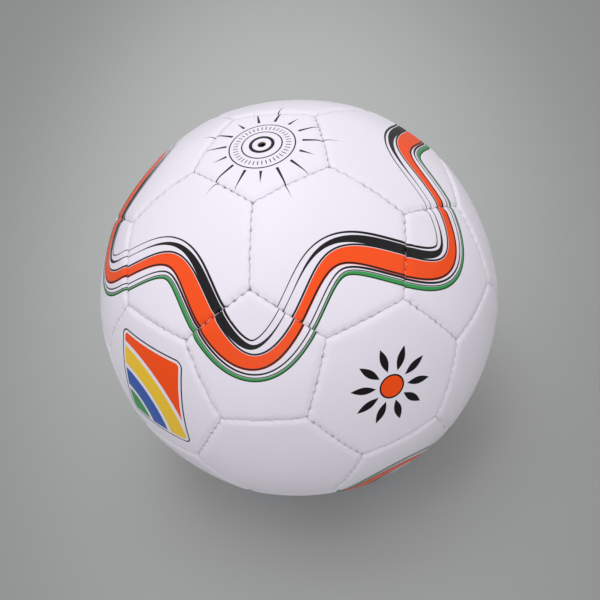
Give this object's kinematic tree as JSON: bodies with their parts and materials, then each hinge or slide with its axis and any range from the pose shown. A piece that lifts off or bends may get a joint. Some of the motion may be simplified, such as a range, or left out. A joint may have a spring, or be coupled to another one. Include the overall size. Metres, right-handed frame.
{
  "type": "volleyball",
  "caption": "Hand-stitched volleyball: pentagon and hexagon synthetic-leather panels sewn over cloth-and-foam linings and an inflated rubber bladder with a needle valve.",
  "frame": {"origin": "centre of the ball, taken over the crowns of its panels", "axes": "+Z out through the valve, -Y out through a pentagon of the upper ring, so that the YZ plane is a mirror plane of the panels"},
  "size_m": [0.21, 0.21, 0.21],
  "materials": {
    "skin": "smooth satin synthetic leather with printed waves",
    "lining": "laminated cloth and foam",
    "thread": "waxed polyester thread",
    "bladder": "moulded rubber",
    "patch": "rubberised cloth",
    "valve_rubber": "moulded rubber"
  },
  "bodies": {
    "ball": {"valve_pentagon": "skin", "upper_pentagon_1": "skin", "upper_pentagon_2": "skin", "upper_pentagon_3": "skin", "upper_pentagon_4": "skin", "upper_pentagon_5": "skin", "lower_pentagon_1": "skin", "lower_pentagon_2": "skin", "lower_pentagon_3": "skin", "lower_pentagon_4": "skin", "lower_pentagon_5": "skin", "base_pentagon": "skin", "crown_hexagon_1": "skin", "crown_hexagon_2": "skin", "crown_hexagon_3": "skin", "crown_hexagon_4": "skin", "crown_hexagon_5": "skin", "upper_hexagon_1": "skin", "upper_hexagon_2": "skin", "upper_hexagon_3": "skin", "upper_hexagon_4": "skin", "upper_hexagon_5": "skin", "lower_hexagon_1": "skin", "lower_hexagon_2": "skin", "lower_hexagon_3": "skin", "lower_hexagon_4": "skin", "lower_hexagon_5": "skin", "base_hexagon_1": "skin", "base_hexagon_2": "skin", "base_hexagon_3": "skin", "base_hexagon_4": "skin", "base_hexagon_5": "skin", "valve_lining": "lining", "pentagon_linings": "lining", "hexagon_linings": "lining", "pentagon_seam_thread": "thread", "hexagon_seam_thread": "thread", "bladder": "bladder", "valve_patch": "patch", "valve_body": "valve_rubber"},
    "valve_core": {"valve_core": "valve_rubber"}
  },
  "joints": [
    {"name": "valve_core_pull", "type": "slide", "parent": "ball", "child": "valve_core", "axis": [0, 0, 1], "range_m": [0, 0.021]}
  ]
}
